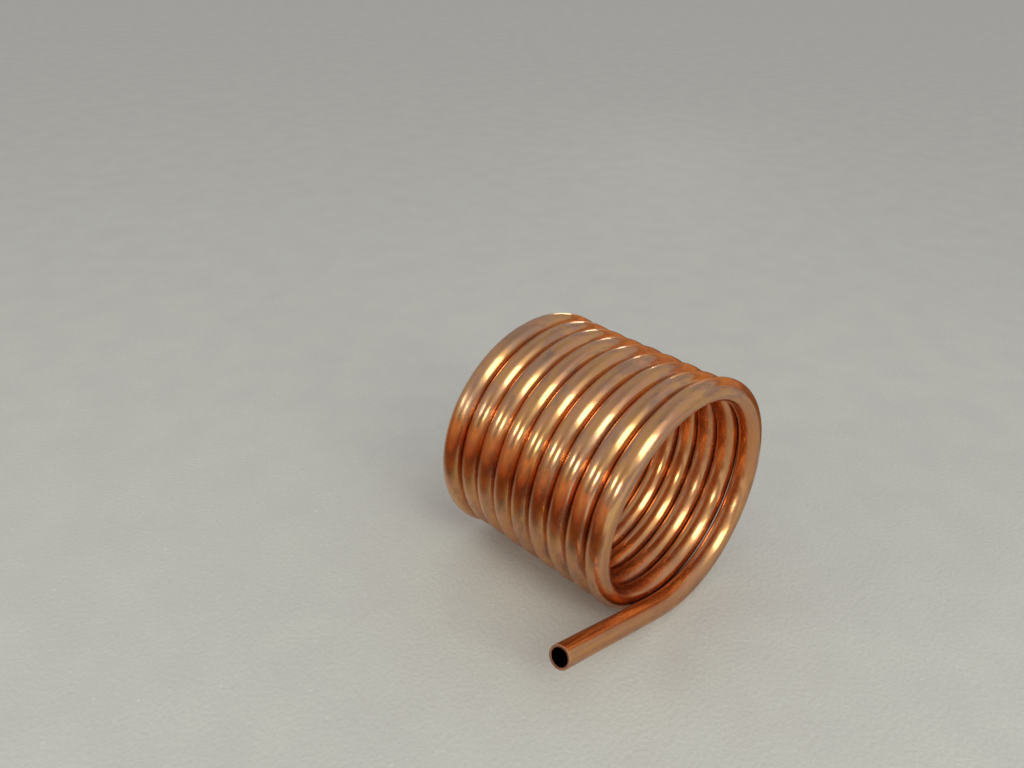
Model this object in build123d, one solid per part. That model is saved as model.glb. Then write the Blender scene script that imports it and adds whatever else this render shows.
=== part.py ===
from build123d import *
import math
import os

# A close-wound coil of soft copper tube lying on its side on a level floor.
# +Y runs along the coil axis from the open front mouth to the back, +X is to the right seen from the
# front, and z = 0 is the floor.  The origin is on the floor, midway along and across the whole piece.

# Tube section
tube_diameter = 12.0
wall_thickness = 1.0

# Coil body
turns = 9
coil_outer_diameter = 129.6
turn_gap = 0.4

# End turns, sprung open from the body over this part of a turn and by this much in radius
open_part = 0.75
end_opening = 1.2

# Front tail, which leaves the coil a little past its lowest point and rises to its cut end
front_overrun_deg = 17.0
front_tail_length = 84.0

# Rear tail, which lies flat on the floor
rear_tail_length = 150.0

# Derived sizes
tube_radius = tube_diameter / 2
bore_radius = tube_radius - wall_thickness
body_radius = coil_outer_diameter / 2 - tube_radius
body_pitch = tube_diameter + turn_gap
end_radius = body_radius + end_opening
end_pitch = body_pitch * end_radius / body_radius
body_turns = turns - 2 * open_part
front_overrun = front_overrun_deg / 360

# The end turns stand out sideways from the body, one to each side, and carry it clear of the floor
end_shift = -end_opening * math.sin(2 * math.pi * open_part)
end_rise = end_opening * math.cos(2 * math.pi * open_part)
end_centre_height = end_radius + tube_radius
body_centre_height = end_centre_height - end_rise


# One run of the coil, left-handed, from one place to another counted in turns from the bottom of the
# front turn
def coil_run(first, last, radius, pitch, centre):
    angle = 2 * math.pi * first
    across = (math.sin(angle), 0, -math.cos(angle))
    frame = Plane(origin=centre, x_dir=across, z_dir=(0, 1, 0))
    height = pitch * (last - first)
    return frame * Helix(pitch=pitch, height=height, radius=radius, lefthand=True)


# Centre line of the coil: the body and the two opened ends, which join it without a kink
front_centre = (end_shift, -end_pitch * front_overrun, end_centre_height)
front_run = coil_run(-front_overrun, open_part, end_radius, end_pitch, front_centre)
body_centre = (0, end_pitch * open_part, body_centre_height)
body_run = coil_run(open_part, turns - open_part, body_radius, body_pitch, body_centre)
rear_centre = (-end_shift, end_pitch * open_part + body_pitch * body_turns, end_centre_height)
rear_run = coil_run(turns - open_part, turns, end_radius, end_pitch, rear_centre)

# Straight tails, tangent to the coil where they leave it
front_root = front_run @ 0
front_direction = -(front_run % 0)
front_end = front_root + front_direction * front_tail_length
rear_root = rear_run @ 1
rear_direction = rear_run % 1
rear_end = rear_root + rear_direction * rear_tail_length

# Annular section carried along the whole centre line
section = Circle(tube_radius) - Circle(bore_radius)
runs = [Line(front_end, front_root), front_run, body_run, rear_run, Line(rear_root, rear_end)]
section_plane = Plane(origin=front_end, z_dir=-front_direction)
tube = sweep(section_plane * section, path=Wire(runs), is_frenet=True)

# Origin moved to the middle of the footprint
box = tube.bounding_box()
tube = tube.moved(Location((-(box.min.X + box.max.X) / 2, -(box.min.Y + box.max.Y) / 2, 0)))

os.makedirs("parts", exist_ok=True)
export_step(tube, "parts/tube_coil.step")
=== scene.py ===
import math

import bpy
import numpy as np
from mathutils import Matrix, Vector


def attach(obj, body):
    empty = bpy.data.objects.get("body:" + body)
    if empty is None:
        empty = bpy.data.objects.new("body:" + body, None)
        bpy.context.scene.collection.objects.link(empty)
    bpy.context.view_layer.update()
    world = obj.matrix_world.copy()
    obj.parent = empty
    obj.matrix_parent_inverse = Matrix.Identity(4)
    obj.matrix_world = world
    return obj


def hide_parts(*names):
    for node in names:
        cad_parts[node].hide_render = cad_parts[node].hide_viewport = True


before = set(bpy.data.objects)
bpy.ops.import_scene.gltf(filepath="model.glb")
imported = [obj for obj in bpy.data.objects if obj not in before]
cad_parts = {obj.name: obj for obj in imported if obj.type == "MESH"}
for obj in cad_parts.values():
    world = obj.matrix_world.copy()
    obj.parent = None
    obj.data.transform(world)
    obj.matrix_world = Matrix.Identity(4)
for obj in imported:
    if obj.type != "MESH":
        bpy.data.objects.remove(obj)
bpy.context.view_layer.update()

TAU = 2 * math.pi

# Sizes of the coil, in millimetres, as in the part's source
TUBE_RADIUS = 6.0
BORE_RADIUS = 5.0
TURNS = 9
BODY_RADIUS = 58.8
BODY_PITCH = 12.4
OPEN_PART = 0.75
END_OPENING = 1.2
FRONT_OVERRUN = 17.0 / 360
FRONT_TAIL = 84.0
REAR_TAIL = 150.0
END_RADIUS = BODY_RADIUS + END_OPENING
END_PITCH = BODY_PITCH * END_RADIUS / BODY_RADIUS
CENTRE_HEIGHT = END_RADIUS + TUBE_RADIUS

# Mesh of the tube: faces around it, millimetres from ring to ring, and outside rings for each of the bore
SIDES = 40
STEP = 2.5
BORE_EVERY = 4

# Rounded rims of the cut ends, outside and in the bore: distance in from the end, change of radius
OUTER_RIM = [(0.0, -0.30), (0.08, -0.13), (0.25, -0.04), (0.7, 0.0)]
BORE_RIM = [(0.0, -0.20), (0.06, -0.36), (0.25, -0.33), (0.6, -0.12), (1.2, 0.0)]

# Easing of the bends into the two tails: rings to each side, passes
EASE_REACH = 14
EASE_PASSES = 26

# Unevenness of the hand-wound turns, in millimetres: waves of size, length and phase, and the standing off
# of the two end turns, with its reach and its places along the tube from each end.  The tube is held to its
# line up to a height above where it rests, and freed over the next stretch.
WAVES_INWARDS = [(0.05, 47.0, 0.6), (0.05, 83.0, 2.1)]
WAVES_SIDEWAYS = [(0.06, 61.0, 1.3), (0.05, 29.0, 4.0)]
MEAN_INWARDS = 0.10
STAND_OFF = 0.6
STAND_OFF_REACH = 60
STAND_OFF_FRONT = 205
STAND_OFF_REAR = 253
HELD_TO, FREE_OVER = 2, 30

# The atlas for baking: strips of the outside and of the bore, with their first place, width and spacing, and
# the margin and overlap at the ends of a strip
OUTER_STRIPS, OUTER_PLACES = 11, (0.003, 0.078, 0.085)
BORE_STRIPS, BORE_PLACES = 3, (0.94, 0.018, 0.02)
STRIP_MARGIN, STRIP_OVERLAP = 0.004, 0.003

# Colours of the copper
GOLDEN = (0.84, 0.455, 0.20, 1)
PINK = (0.82, 0.425, 0.26, 1)
WARM = (0.81, 0.395, 0.165, 1)
FILMED = (0.60, 0.36, 0.265, 1)
SMUDGED = (0.50, 0.305, 0.215, 1)
# Painted shade for the inside of the coil: the side facing into it, darker and redder
INWARD_PAINTED_SHADE = (0.83, 0.385, 0.165, 1)
# Painted shade for the grooves between the turns, where they nearly meet
GROOVE_PAINTED_SHADE = (0.52, 0.26, 0.14, 1)
SAWN = (0.80, 0.55, 0.44, 1)

# The lamps and panels face this point, in metres
AIM = Vector((-0.025, 0, 0.07))

# Lamps: name, azimuth and elevation, distance, size, power, turn about its own axis, colour, and whether it
# lights the floor
LAMPS = [("key", 253, 36, 1.2, (1.02, 0.36), 3.7, -52, (0.95, 1.0, 0.84), True),
         ("side_a", 212, 17, 1.2, (0.20, 0.16), 0.9, 0, (0.95, 1.0, 0.82), True),
         ("side_b", 156, 23, 1.2, (0.20, 0.16), 0.9, 0, (0.95, 1.0, 0.82), True),
         ("behind", 34, 9, 1.4, (0.30, 0.16), 0.8, 0, (1.0, 0.93, 0.74), False)]

# Light of the room, and soft patches of it: azimuth, elevation, full within, gone beyond (degrees), colour
ROOM_LIGHT = (0.37, 0.36, 0.35, 1)
ROOM_PATCHES = [(0, 90, 35, 85, (0.48, 0.47, 0.455)),
                (0, 90, 10, 50, (0.30, 0.30, 0.30)),
                (50, 0, 35, 75, (0.36, 0.36, 0.37)),
                (310, 42, 10, 45, (0.47, 0.47, 0.48)),
                (160, 45, 10, 50, (0.44, 0.415, 0.36)),
                (250, 44, 5, 32, (0.92, 0.93, 0.77))]

# Panels round the coil, seen by its reflections only: name, then as the patches, then distance
PANELS = [("dark_panel", 190, 0, 15, 50, (0.26, 0.21, 0.17), 2.2),
          ("panel_a", 212, 17, 2, 18, (0.78, 0.72, 0.56), 2.0),
          ("panel_b", 156, 23, 2, 18, (0.78, 0.72, 0.56), 1.8)]

# Beaded drums, seen by reflections only: name, start and end of the axis, radius, colour
DRUMS = [("drum_left", (-0.172, 0.33, 0.052), (-0.172, -0.08, 0.052), 0.052, (0.77, 0.41, 0.23)),
         ("drum_right", (0.27, 0.11, 0.108), (0.17, -0.127, 0.108), 0.108, (0.74, 0.40, 0.21))]
DRUM_ROUGHNESS = 0.35
DRUM_SIDES = 64
BEAD_RADIUS = 0.0062
BEAD_STEPS = 8

# Painted shade on the floor, for the shadow round the coil and its neighbours and partly for the darker
# tape:
# # dim sheets seen by reflections only, one above another: name, two corners, height, width of the soft
# edge,
# # strength, colour
SHADES = [("shade_left", (-0.30, -0.23), (-0.085, 0.38), 0.0003, 0.085, 1.0, (0.22, 0.11, 0.06)),
          ("shade_near", (-0.11, -0.15), (-0.03, 0.30), 0.0002, 0.045, 0.25, (0.42, 0.24, 0.16)),
          ("shade_front", (-0.13, -0.30), (0.17, 0.08), 0.0001, 0.05, 0.3, (0.34, 0.19, 0.12))]
SHADE_ROUGHNESS = 0.6

FLOOR_REACH = 9

# The photograph's camera: focal length and width in pixels, a sensor width in millimetres, the place in
# metres, and the turns in radians
FOCAL_LENGTH = 829.0
PHOTO_WIDTH = 1024
SENSOR_WIDTH = 36
CAMERA_PLACE = (-0.32569, -0.22468, 0.32163)
YAW, PITCH, ROLL = 0.7762, 0.519, 0.0359


# ---------------------------------------------------------------- centre line

def helix(first, last, radius, pitch, centre_x, start_y):
    """Points, directions and outward normals along one left-handed run, from first to last turn."""
    count = int(math.ceil(math.hypot(TAU * radius, pitch) * (last - first) / STEP)) + 1
    turn = np.linspace(first, last, count)
    angle = TAU * turn
    zero = np.zeros(count)
    points = np.stack([centre_x + radius * np.sin(angle), start_y + pitch * (turn - first),
                       CENTRE_HEIGHT - radius * np.cos(angle)], 1)
    along = np.stack([radius * np.cos(angle), zero + pitch / TAU, radius * np.sin(angle)], 1)
    along /= np.linalg.norm(along, axis=1)[:, None]
    outward = np.stack([np.sin(angle), zero, -np.cos(angle)], 1)
    return points, along, outward


def straight(start, along, outward, length):
    """The same for a straight run."""
    distance = np.linspace(0, length, int(math.ceil(length / STEP)) + 1)
    ones = np.ones((len(distance), 1))
    return start + distance[:, None] * along, ones * along, ones * outward


def centre_line():
    """The whole tube, from its front end to its rear end."""
    front = helix(-FRONT_OVERRUN, OPEN_PART, END_RADIUS, END_PITCH, END_OPENING, -END_PITCH * FRONT_OVERRUN)
    body_y = END_PITCH * OPEN_PART
    body = helix(OPEN_PART, TURNS - OPEN_PART, BODY_RADIUS, BODY_PITCH, 0, body_y)
    rear_y = body_y + BODY_PITCH * (TURNS - 2 * OPEN_PART)
    rear = helix(TURNS - OPEN_PART, TURNS, END_RADIUS, END_PITCH, -END_OPENING, rear_y)
    point, along, outward = (x[0] for x in front)
    front_tail = straight(point - along * FRONT_TAIL, along, outward, FRONT_TAIL)
    point, along, outward = (x[-1] for x in rear)
    rear_tail = straight(point, along, outward, REAR_TAIL)
    runs = [front_tail, front, body, rear, rear_tail]
    points, along, outward = (
        np.vstack([run[k][:-1] for run in runs[:-1]] + [runs[-1][k]]) for k in range(3))

    # The origin in the middle of the footprint
    reach = TUBE_RADIUS * np.sqrt(1 - along ** 2)
    middle = ((points - reach).min(0) + (points + reach).max(0)) / 2
    points -= middle * (1, 1, 0)

    # The bends into the two tails, eased
    place = np.arange(len(points))
    roots = len(front_tail[0]) - 1, len(points) - len(rear_tail[0])
    share = sum(np.clip(1 - ((place - root) / EASE_REACH) ** 2, 0, 1) ** 2 for root in roots)
    share = share[1:-1, None] / 4
    for _ in range(EASE_PASSES):
        points[1:-1] += share * (points[2:] - 2 * points[1:-1] + points[:-2])
    along = np.gradient(points, axis=0)
    along /= np.linalg.norm(along, axis=1)[:, None]
    outward -= along * (outward * along).sum(1)[:, None]
    outward /= np.linalg.norm(outward, axis=1)[:, None]
    return points, along, outward


def waves(distance, sizes):
    return sum(size * np.sin(distance / length + phase) for size, length, phase in sizes)


def stray(distance, height, length):
    """How far the hand-wound tube strays inwards and along the coil's axis, in millimetres: nowhere near
    the floor, where it rests."""
    free = np.clip((height - TUBE_RADIUS - HELD_TO) / FREE_OVER, 0, 1)
    free = free * free * (3 - 2 * free)
    inwards = MEAN_INWARDS + waves(distance, WAVES_INWARDS)
    front = np.exp(-((distance - STAND_OFF_FRONT) / STAND_OFF_REACH) ** 2)
    rear = np.exp(-((length - STAND_OFF_REAR - distance) / STAND_OFF_REACH) ** 2)
    sideways = waves(distance, WAVES_SIDEWAYS) + STAND_OFF * (front - rear)
    return inwards * free, sideways * free


# ---------------------------------------------------------------- objects

def place_object(name, data):
    piece = bpy.data.objects.new(name, data)
    bpy.context.collection.objects.link(piece)
    return piece


def grid_faces(rings, around, closed):
    """Faces between rings of vertices, and the ring and the side of each corner, the side not wrapped."""
    ring = np.repeat(np.arange(rings if closed else rings - 1), around)
    side = np.tile(np.arange(around), len(ring) // around)
    ring_of = np.stack([ring, ring + 1, ring + 1, ring], 1) % rings
    side_of = np.stack([side + 1, side + 1, side, side], 1)
    return ring_of * around + side_of % around, ring_of, side_of


# ---------------------------------------------------------------- tube mesh

def tube_rings(last):
    """Rings of the whole skin, from the front end along the outside and back through the bore: place on the
    centre line, shift along it, radius.  Then how many of them are outside."""
    outside = ([(0, shift, grow) for shift, grow in OUTER_RIM]
               + [(i, 0.0, 0.0) for i in range(1, last)]
               + [(last, -shift, grow) for shift, grow in OUTER_RIM[::-1]])
    bore = ([(last, -shift, grow) for shift, grow in BORE_RIM]
            + [(i, 0.0, 0.0) for i in range(last - 1, 0, -1) if i % BORE_EVERY == 0]
            + [(0, shift, grow) for shift, grow in BORE_RIM[::-1]])
    rings = [(i, shift, TUBE_RADIUS + grow) for i, shift, grow in outside]
    rings += [(i, shift, BORE_RADIUS + grow) for i, shift, grow in bore]
    index, shift, radius = (np.array(column) for column in zip(*rings))
    return index, shift, radius, len(outside)


def add_corners(mesh, name, corners):
    layer = mesh.uv_layers.new(name=name)
    layer.uv.foreach_set("vector", corners.astype(np.float32).ravel())


def make_tube():
    """The whole tube as one closed skin: outside, rear rim, bore and front rim."""
    points, along, outward = centre_line()
    across = np.cross(along, outward)
    distance = np.concatenate([[0], np.cumsum(np.linalg.norm(np.diff(points, axis=0), axis=1))])
    length = distance[-1]
    inwards, sideways = stray(distance, points[:, 2], length)
    points = points - outward * inwards[:, None] + across * sideways[:, None]

    index, shift, radius, outside = tube_rings(len(points) - 1)
    angle = TAU * np.arange(SIDES) / SIDES
    spoke = (np.cos(angle)[None, :, None] * outward[index][:, None]
             + np.sin(angle)[None, :, None] * across[index][:, None])
    centre = points[index] + along[index] * shift[:, None]
    verts = (centre[:, None] + spoke * radius[:, None, None]).reshape(-1, 3) / 1000

    # The same vertices with the tube pulled straight, in millimetres, for the material
    at = distance[index] + shift
    space = np.stack([radius[:, None] * np.cos(angle), radius[:, None] * np.sin(angle),
                      np.repeat(at[:, None], SIDES, 1)], 2).reshape(-1, 3)

    faces, ring_of, side_of = grid_faces(len(index), SIDES, True)
    mesh = bpy.data.meshes.new("copper_tube")
    mesh.from_pydata(verts.tolist(), [], faces.tolist())
    mesh.update()
    mesh.polygons.foreach_set("use_smooth", np.ones(len(faces), bool))
    layer = mesh.attributes.new("straight_tube", "FLOAT_VECTOR", "POINT")
    layer.data.foreach_set("vector", space.astype(np.float32).ravel())

    # Corner coordinates along and around the tube, for the grain of the metal
    add_corners(mesh, "grain", np.stack([at[ring_of] / 100, side_of / SIDES], 2))

    # The atlas for baking
    ring, following = ring_of[:, 0], ring_of[:, 1]
    is_bore = (ring >= outside - 1) & (ring < len(index) - 1)
    strips = np.where(is_bore, BORE_STRIPS, OUTER_STRIPS)
    long = length / strips
    strip = np.clip(((at[ring] + at[following]) / 2 / long).astype(int), 0, strips - 1)
    first, width, spacing = (np.where(is_bore, b, o) for b, o in zip(BORE_PLACES, OUTER_PLACES))
    u = (at[ring_of] - (strip * long)[:, None]) / long[:, None]
    u = STRIP_MARGIN + (1 - 2 * STRIP_MARGIN) * u.clip(-STRIP_OVERLAP, 1 + STRIP_OVERLAP)
    v = (first + strip * spacing)[:, None] + width[:, None] * side_of / SIDES
    add_corners(mesh, "OFBake", np.stack([u, v], 2))

    mesh.materials.append(copper_material(length))
    return place_object("copper_tube", mesh)


# ---------------------------------------------------------------- materials

def material(name, **sockets):
    """A new material with these values on its shader's own sockets."""
    made = bpy.data.materials.new(name)
    made.use_nodes = True
    shader = made.node_tree.nodes["Principled BSDF"]
    for key, value in sockets.items():
        shader.inputs[key.replace("_", " ")].default_value = value
    return made, made.node_tree, shader


def add(tree, kind, inputs=None, **settings):
    """A new node with its settings, and its inputs linked or set."""
    node = tree.nodes.new(kind)
    for key, value in settings.items():
        setattr(node, key, value)
    for key, value in (inputs or {}).items():
        if isinstance(value, bpy.types.NodeSocket):
            tree.links.new(value, node.inputs[key])
        else:
            node.inputs[key].default_value = value
    return node


def noise(tree, vector, scale, detail=2.0, stretch=(1, 1, 1), roughness=0.5):
    mapping = add(tree, "ShaderNodeMapping", {"Vector": vector, "Scale": stretch})
    return add(tree, "ShaderNodeTexNoise", {"Vector": mapping.outputs[0], "Scale": scale, "Detail": detail,
                                            "Roughness": roughness}).outputs["Fac"]


def ramp(tree, value, low, high, to_low=0.0, to_high=1.0):
    inputs = {"Value": value, "From Min": low, "From Max": high, "To Min": to_low, "To Max": to_high}
    return add(tree, "ShaderNodeMapRange", inputs, interpolation_type="SMOOTHSTEP").outputs[0]


def mix(tree, factor, first, second):
    """A mixed colour.  Sockets 0, 6 and 7 are the factor and the two colours, and 2 is the result."""
    inputs = {0: factor, 6: first, 7: second}
    return add(tree, "ShaderNodeMix", inputs, data_type="RGBA").outputs[2]


def calculate(tree, operation, first, second=0.0):
    return add(tree, "ShaderNodeMath", {0: first, 1: second}, operation=operation).outputs[0]


def total(tree, first, *parts):
    """The first value and each further one times its own factor."""
    for value, factor in parts:
        first = calculate(tree, "ADD", first, calculate(tree, "MULTIPLY", value, factor))
    return first


def copper_material(length):
    made, tree, shader = material("copper", Metallic=1.0, Anisotropic=0.7, Anisotropic_Rotation=0.25)
    space = add(tree, "ShaderNodeAttribute", attribute_name="straight_tube").outputs["Vector"]
    axes = add(tree, "ShaderNodeSeparateXYZ", {0: space}).outputs

    # Drawing lines along the tube, a handling film and smudges in patches, and scuffs
    lines = noise(tree, space, 1.3, 3.0, (1, 1, 0.02))
    blush = noise(tree, space, 0.16, 4.0, (1, 1, 0.5), 0.65)
    film = ramp(tree, noise(tree, space, 0.085, 4.0, (1, 1, 0.55), 0.6), 0.48, 0.68)
    smudges = ramp(tree, noise(tree, space, 0.15, 3.0, (1, 1, 0.4), 0.6), 0.52, 0.64, 0.0, 0.6)
    scuffs = ramp(tree, noise(tree, space, 2.2, 2.0, (1, 1, 0.12), 0.6), 0.6, 0.78)
    colour = mix(tree, ramp(tree, blush, 0.44, 0.60), GOLDEN, PINK)
    colour = mix(tree, ramp(tree, lines, 0.4, 0.8, 0.0, 0.5), colour, WARM)
    colour = mix(tree, calculate(tree, "MULTIPLY", film, 0.85), colour, FILMED)
    colour = mix(tree, smudges, colour, SMUDGED)

    # The side that faces into the coil, painted darker and redder as shade inside the coil, and the sides
    #     # where the turns nearly meet, darker and duller as painted shade in the grooves between the turns
    inner = ramp(tree, axes["X"], -1.0, -4.5, 0.0, 0.6)
    colour = mix(tree, inner, colour, INWARD_PAINTED_SHADE)
    # Painted shade in the grooves: a darker, duller colour where the turns nearly meet
    groove_shade = ramp(tree, calculate(tree, "ABSOLUTE", axes["Y"]), 5.4, 5.95)
    groove_shade = calculate(tree, "MULTIPLY", groove_shade, ramp(tree, blush, 0.3, 0.6, 0.1, 0.4))
    colour = mix(tree, groove_shade, colour, GROOVE_PAINTED_SHADE)

    # The two sawn end faces, dull and pale
    front = ramp(tree, axes["Z"], 0.2, 0.05)
    rear = ramp(tree, axes["Z"], length - 0.2, length - 0.05)
    cut = calculate(tree, "ADD", front, rear)
    colour = mix(tree, cut, colour, SAWN)
    tree.links.new(colour, shader.inputs["Base Color"])
    rough = total(tree, ramp(tree, lines, 0.3, 0.8, 0.16, 0.22), (film, 0.12), (scuffs, 0.06), (cut, 0.25))
    tree.links.new(rough, shader.inputs["Roughness"])

    # Fine lines, slow waves left by the bending, and shallow dents
    fine_lines = noise(tree, space, 5.0, 2.0, (1, 1, 0.01))
    slow = noise(tree, space, 0.06, 1.0, (1, 1, 0.8))
    dents = noise(tree, space, 0.22, 1.0, (1, 1, 0.5))
    height = total(tree, calculate(tree, "MULTIPLY", fine_lines, 0.25), (slow, 6.0), (dents, 1.2))
    bump = add(tree, "ShaderNodeBump", {"Height": height, "Strength": 0.25, "Distance": 0.0001})
    tree.links.new(bump.outputs[0], shader.inputs["Normal"])

    tangent = add(tree, "ShaderNodeTangent", direction_type="UV_MAP", uv_map="grain")
    tree.links.new(tangent.outputs[0], shader.inputs["Tangent"])
    return made


def floor_material():
    made, tree, shader = material("floor", Specular_IOR_Level=0.05)
    place = add(tree, "ShaderNodeTexCoord").outputs["Object"]
    speckle = noise(tree, place, 420.0, 3.0)
    cloud = noise(tree, place, 28.0, 4.0)
    flecks = ramp(tree, noise(tree, place, 330.0, 1.0), 0.68, 0.78, 0.0, 0.6)
    colour = mix(tree, ramp(tree, cloud, 0.3, 0.7), (0.76, 0.75, 0.76, 1), (0.79, 0.79, 0.79, 1))
    colour = mix(tree, ramp(tree, speckle, 0.35, 0.7, 0.0, 0.3), colour, (0.70, 0.70, 0.70, 1))
    colour = mix(tree, flecks, colour, (0.88, 0.89, 0.90, 1))
    tree.links.new(colour, shader.inputs["Base Color"])
    tree.links.new(ramp(tree, speckle, 0.3, 0.7, 0.6, 0.75), shader.inputs["Roughness"])
    bump = add(tree, "ShaderNodeBump", {"Height": speckle, "Strength": 0.5, "Distance": 0.0008})
    tree.links.new(bump.outputs[0], shader.inputs["Normal"])
    return made


# ---------------------------------------------------------------- stage

def direction(azimuth, elevation):
    a, e = math.radians(azimuth), math.radians(elevation)
    return Vector((math.cos(a) * math.cos(e), math.sin(a) * math.cos(e), math.sin(e)))


def facing(azimuth, elevation, distance, turn=0.0):
    """The place and turn of something that faces the coil from this direction, in degrees."""
    away = direction(azimuth, elevation)
    right = Vector((0, 0, 1)).cross(away).normalized()
    spin = Matrix.Rotation(math.radians(turn), 3, "Z")
    turned = Matrix((right, away.cross(right), away)).transposed() @ spin
    return Matrix.Translation(away * distance + AIM) @ turned.to_4x4()


def within(tree, cosine, inner, outer):
    """1 within the inner angle and 0 beyond the outer one, in degrees."""
    return ramp(tree, cosine, math.cos(math.radians(outer)), math.cos(math.radians(inner)))


def sheet(name, low, high, height, made):
    """A level sheet between two corners."""
    mesh = bpy.data.meshes.new(name)
    corners = [(low[0], low[1], height), (high[0], low[1], height), (high[0], high[1], height),
               (low[0], high[1], height)]
    mesh.from_pydata(corners, [], [(0, 1, 2, 3)])
    mesh.materials.append(made)
    piece = place_object(name, mesh)
    return piece


def only_reflected(piece):
    piece.visible_camera = piece.visible_diffuse = False
    piece.visible_shadow = piece.visible_transmission = False


def drum(name, start, end, radius, colour):
    """A beaded metal drum that only reflections see."""
    axis = Vector(end) - Vector(start)
    beads = round(axis.length / (2 * BEAD_RADIUS))
    step = np.arange(beads * BEAD_STEPS + 1) / BEAD_STEPS
    swell = radius - BEAD_RADIUS + BEAD_RADIUS * np.sqrt(np.clip(1 - (2 * (step % 1) - 1) ** 2, 0.02, 1))
    angle = TAU * np.arange(DRUM_SIDES) / DRUM_SIDES
    verts = np.stack([swell[:, None] * np.cos(angle), swell[:, None] * np.sin(angle),
                      np.repeat(step[:, None] * axis.length / beads, DRUM_SIDES, 1)], 2).reshape(-1, 3)
    faces = grid_faces(len(step), DRUM_SIDES, False)[0]
    mesh = bpy.data.meshes.new(name)
    mesh.from_pydata(verts.tolist(), [], faces.tolist())
    mesh.polygons.foreach_set("use_smooth", np.ones(len(faces), bool))
    mesh.materials.append(material(name, Base_Color=(*colour, 1), Metallic=1.0, Roughness=DRUM_ROUGHNESS)[0])
    piece = place_object(name, mesh)
    turned = axis.to_track_quat("Z", "Y").to_matrix().to_4x4()
    piece.matrix_world = Matrix.Translation(Vector(start)) @ turned
    only_reflected(piece)


def shade(name, low, high, height, edge, share, colour):
    """A dim sheet of painted shade on the floor that only reflections see, with soft edges."""
    made, tree, shader = material(name, Base_Color=(*colour, 1), Roughness=SHADE_ROUGHNESS)
    place = add(tree, "ShaderNodeSeparateXYZ", {0: add(tree, "ShaderNodeTexCoord").outputs["Object"]})
    for axis in (0, 1):
        for side, step in ((low[axis], edge), (high[axis], -edge)):
            near = ramp(tree, place.outputs[axis], side, side + step)
            share = calculate(tree, "MULTIPLY", share, near)
    tree.links.new(share, shader.inputs["Alpha"])
    only_reflected(sheet(name, low, high, height, made))


def panel(name, azimuth, elevation, inner, outer, colour, distance):
    """A glowing panel with soft edges that only reflections see."""
    made, tree, shader = material(name, Base_Color=(0, 0, 0, 1), Specular_IOR_Level=0.0,
                                  Emission_Color=(*colour, 1), Emission_Strength=1.0)
    place = add(tree, "ShaderNodeTexCoord").outputs["Object"]
    way = add(tree, "ShaderNodeVectorMath", {0: place, 1: (0, 0, distance)}, operation="ADD").outputs[0]
    way = add(tree, "ShaderNodeVectorMath", {0: way}, operation="NORMALIZE").outputs[0]
    cosine = add(tree, "ShaderNodeSeparateXYZ", {0: way}).outputs["Z"]
    tree.links.new(within(tree, cosine, inner, outer), shader.inputs["Alpha"])
    reach = distance * math.tan(math.radians(outer))
    piece = sheet(name, (-reach, -reach), (reach, reach), 0, made)
    piece.matrix_world = facing(azimuth, elevation, distance)
    only_reflected(piece)


def lamp(name, azimuth, elevation, distance, size, power, turn, colour, lights_floor):
    """A soft lamp that faces the coil."""
    data = bpy.data.lights.new(name, "AREA")
    data.shape = "RECTANGLE"
    data.size, data.size_y = size
    data.energy = power
    data.color = colour
    piece = place_object(name, data)
    piece.matrix_world = facing(azimuth, elevation, distance, turn)
    piece.visible_diffuse = lights_floor


def make_room():
    """The soft light of the room, from all round."""
    world = bpy.data.worlds.new("room")
    bpy.context.scene.world = world
    world.use_nodes = True
    tree = world.node_tree
    way = add(tree, "ShaderNodeTexCoord").outputs["Generated"]
    colour = ROOM_LIGHT
    for azimuth, elevation, inner, outer, tint in ROOM_PATCHES:
        inputs = {0: way, 1: direction(azimuth, elevation)}
        cosine = add(tree, "ShaderNodeVectorMath", inputs, operation="DOT_PRODUCT").outputs["Value"]
        colour = mix(tree, within(tree, cosine, inner, outer), colour, (*tint, 1))
    tree.links.new(colour, tree.nodes["Background"].inputs["Color"])


def make_stage():
    sheet("floor", (-FLOOR_REACH, -FLOOR_REACH), (FLOOR_REACH, FLOOR_REACH), 0, floor_material())
    for row in DRUMS:
        drum(*row)
    for row in SHADES:
        shade(*row)
    for row in LAMPS:
        lamp(*row)
    for row in PANELS:
        panel(*row)
    make_room()


def make_camera():
    """The photograph's viewpoint."""
    data = bpy.data.cameras.new("camera")
    data.sensor_width = SENSOR_WIDTH
    data.lens = FOCAL_LENGTH / PHOTO_WIDTH * SENSOR_WIDTH
    data.clip_start, data.clip_end = 0.01, 50
    piece = place_object("camera", data)
    ahead = Vector((math.cos(YAW) * math.cos(PITCH), math.sin(YAW) * math.cos(PITCH), -math.sin(PITCH)))
    level = Vector((math.sin(YAW), -math.cos(YAW), 0))
    above = level.cross(ahead)
    right = math.cos(ROLL) * level + math.sin(ROLL) * above
    up = math.cos(ROLL) * above - math.sin(ROLL) * level
    turned = Matrix((right, up, -ahead)).transposed().to_4x4()
    piece.matrix_world = Matrix.Translation(CAMERA_PLACE) @ turned
    bpy.context.scene.camera = piece


tube = make_tube()
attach(tube, "root")
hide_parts("tube_coil")
make_stage()
make_camera()
bpy.context.scene.view_settings.view_transform = "Standard"
